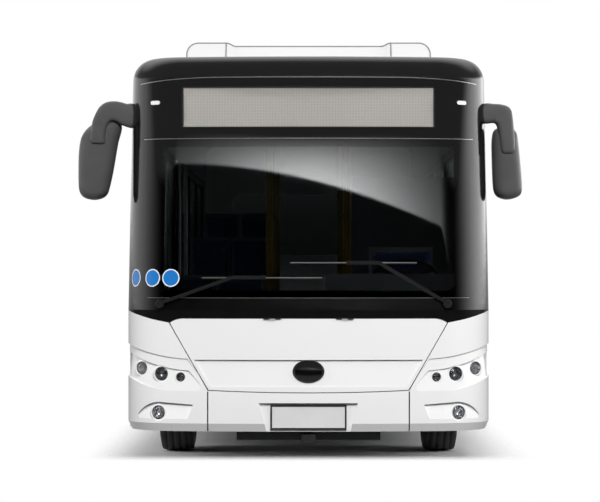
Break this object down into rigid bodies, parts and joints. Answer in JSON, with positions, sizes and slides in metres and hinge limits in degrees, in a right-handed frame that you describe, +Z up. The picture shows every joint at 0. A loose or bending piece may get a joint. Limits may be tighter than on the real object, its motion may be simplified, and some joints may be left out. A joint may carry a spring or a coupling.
{
  "type": "city bus",
  "caption": "Low-floor city bus with a black glass front, inward-swinging doors, lift-up service panels, roof units, steered front wheels and a driven rear axle.",
  "frame": {"origin": "on the ground under the middle of the body", "axes": "+Y to the rear, -Y is the nose, +X to the bus's left (driver's) side, +Z up"},
  "size_m": [3.1542, 12.0642, 3.21],
  "materials": {
    "white_paint": "gloss",
    "black_paint": "gloss",
    "tinted_glass": "gloss",
    "floor_covering": "matte",
    "sign_panel": "matte",
    "clear_lamp": "gloss",
    "red_lamp": "gloss",
    "satin_metal": "satin",
    "black_plastic": "satin",
    "mirror": "gloss",
    "dark_steel": "satin",
    "grey_casting": "satin",
    "rubber": "matte",
    "seat_fabric": "matte",
    "grey_plastic": "matte",
    "yellow_rail": "gloss",
    "tyre": "matte",
    "wheel_paint": "satin"
  },
  "bodies": {
    "bus_body": {"left_side": "white_paint", "right_side": "white_paint", "roof": "white_paint", "rear_wall": "white_paint", "corner_panels": "white_paint", "front_bumper": "white_paint", "roof_units": "white_paint", "left_window_band": "black_paint", "right_window_band": "black_paint", "front_mask": "black_paint", "windscreen": "tinted_glass", "side_windows": "tinted_glass", "rear_window": "tinted_glass", "floor": "floor_covering", "sign_board": "sign_panel", "front_lamps": "clear_lamp", "rear_lamps": "red_lamp", "plate_carrier": "satin_metal", "mirror_arms": "black_plastic", "mirror_heads": "black_plastic", "mirror_plates": "mirror", "front_axle": "dark_steel", "rear_axle": "dark_steel", "chassis_frame": "dark_steel", "drive_motor": "grey_casting", "air_springs": "rubber", "seats": "seat_fabric", "dashboard": "grey_plastic", "steering_wheel": "black_plastic", "handrails": "yellow_rail", "cab_screen": "grey_plastic"},
    "front_flap": {"front_flap": "white_paint"},
    "rear_lid": {"rear_lid": "white_paint"},
    "wiper_left": {"wiper_left": "black_plastic"},
    "wiper_right": {"wiper_right": "black_plastic"},
    "knuckle_left": {"knuckle_left": "dark_steel"},
    "knuckle_right": {"knuckle_right": "dark_steel"},
    "front_left_wheel": {"front_left_tyre": "tyre", "front_left_wheel": "wheel_paint"},
    "front_right_wheel": {"front_right_tyre": "tyre", "front_right_wheel": "wheel_paint"},
    "rear_left_wheels": {"rear_left_tyres": "tyre", "rear_left_wheel": "wheel_paint"},
    "rear_right_wheels": {"rear_right_tyres": "tyre", "rear_right_wheel": "wheel_paint"},
    "front_door_post_a": {"front_door_post_a": "satin_metal"},
    "front_door_leaf_a": {"front_door_leaf_a": "black_paint", "front_door_glass_a": "tinted_glass"},
    "front_door_post_b": {"front_door_post_b": "satin_metal"},
    "front_door_leaf_b": {"front_door_leaf_b": "black_paint", "front_door_glass_b": "tinted_glass"},
    "middle_door_post_a": {"middle_door_post_a": "satin_metal"},
    "middle_door_leaf_a": {"middle_door_leaf_a": "black_paint", "middle_door_glass_a": "tinted_glass"},
    "middle_door_post_b": {"middle_door_post_b": "satin_metal"},
    "middle_door_leaf_b": {"middle_door_leaf_b": "black_paint", "middle_door_glass_b": "tinted_glass"}
  },
  "joints": [
    {"name": "steer_left", "type": "hinge", "parent": "bus_body", "child": "knuckle_left", "pos_m": [0.94, -3.3, 0.479], "axis": [0, 0, 1], "range_deg": [-45, 45]},
    {"name": "steer_right", "type": "hinge", "parent": "bus_body", "child": "knuckle_right", "pos_m": [-0.94, -3.3, 0.479], "axis": [0, 0, 1], "range_deg": [-45, 45]},
    {"name": "spin_front_left", "type": "hinge", "parent": "knuckle_left", "child": "front_left_wheel", "pos_m": [1.037, -3.3, 0.479], "axis": [1, 0, 0], "continuous": true},
    {"name": "spin_front_right", "type": "hinge", "parent": "knuckle_right", "child": "front_right_wheel", "pos_m": [-1.037, -3.3, 0.479], "axis": [1, 0, 0], "continuous": true},
    {"name": "spin_rear_left", "type": "hinge", "parent": "bus_body", "child": "rear_left_wheels", "pos_m": [0.932, 2.65, 0.479], "axis": [1, 0, 0], "continuous": true},
    {"name": "spin_rear_right", "type": "hinge", "parent": "bus_body", "child": "rear_right_wheels", "pos_m": [-0.932, 2.65, 0.479], "axis": [1, 0, 0], "continuous": true},
    {"name": "front_flap_lift", "type": "hinge", "parent": "bus_body", "child": "front_flap", "pos_m": [0, -6.003, 1.103], "axis": [-1, 0, 0], "range_deg": [0, 70]},
    {"name": "rear_lid_lift", "type": "hinge", "parent": "bus_body", "child": "rear_lid", "pos_m": [0, 5.999, 1.337], "axis": [1, 0, 0], "range_deg": [0, 80]},
    {"name": "wiper_left_sweep", "type": "hinge", "parent": "bus_body", "child": "wiper_left", "pos_m": [0.962, -6.042, 1.202], "axis": [0, 0.9969, -0.0786], "range_deg": [0, 80]},
    {"name": "wiper_right_sweep", "type": "hinge", "parent": "bus_body", "child": "wiper_right", "pos_m": [-1.031, -6.042, 1.202], "axis": [0, -0.9969, 0.0786], "range_deg": [0, 80]},
    {"name": "front_door_post_a_turn", "type": "hinge", "parent": "bus_body", "child": "front_door_post_a", "pos_m": [-1.191, -5.332, 0.38], "axis": [0, 0, -1], "range_deg": [0, 90]},
    {"name": "front_door_leaf_a_turn", "type": "hinge", "parent": "front_door_post_a", "child": "front_door_leaf_a", "pos_m": [-1.246, -5.022, 0.41], "axis": [0, 0, 1], "range_deg": [0, 180]},
    {"name": "front_door_post_b_turn", "type": "hinge", "parent": "bus_body", "child": "front_door_post_b", "pos_m": [-1.191, -4.088, 0.38], "axis": [0, 0, 1], "range_deg": [0, 90]},
    {"name": "front_door_leaf_b_turn", "type": "hinge", "parent": "front_door_post_b", "child": "front_door_leaf_b", "pos_m": [-1.246, -4.398, 0.41], "axis": [0, 0, -1], "range_deg": [0, 180]},
    {"name": "middle_door_post_a_turn", "type": "hinge", "parent": "bus_body", "child": "middle_door_post_a", "pos_m": [-1.191, -0.292, 0.38], "axis": [0, 0, -1], "range_deg": [0, 90]},
    {"name": "middle_door_leaf_a_turn", "type": "hinge", "parent": "middle_door_post_a", "child": "middle_door_leaf_a", "pos_m": [-1.246, 0.018, 0.41], "axis": [0, 0, 1], "range_deg": [0, 180]},
    {"name": "middle_door_post_b_turn", "type": "hinge", "parent": "bus_body", "child": "middle_door_post_b", "pos_m": [-1.191, 0.952, 0.38], "axis": [0, 0, 1], "range_deg": [0, 90]},
    {"name": "middle_door_leaf_b_turn", "type": "hinge", "parent": "middle_door_post_b", "child": "middle_door_leaf_b", "pos_m": [-1.246, 0.642, 0.41], "axis": [0, 0, -1], "range_deg": [0, 180]}
  ],
  "couplings": [
    {"joint": "steer_right", "follows": "steer_left", "ratio": 1},
    {"joint": "wiper_right_sweep", "follows": "wiper_left_sweep", "ratio": 1},
    {"joint": "front_door_leaf_a_turn", "follows": "front_door_post_a_turn", "ratio": 2},
    {"joint": "front_door_post_b_turn", "follows": "front_door_post_a_turn", "ratio": 1},
    {"joint": "front_door_leaf_b_turn", "follows": "front_door_post_a_turn", "ratio": 2},
    {"joint": "middle_door_leaf_a_turn", "follows": "middle_door_post_a_turn", "ratio": 2},
    {"joint": "middle_door_post_b_turn", "follows": "middle_door_post_a_turn", "ratio": 1},
    {"joint": "middle_door_leaf_b_turn", "follows": "middle_door_post_a_turn", "ratio": 2}
  ]
}
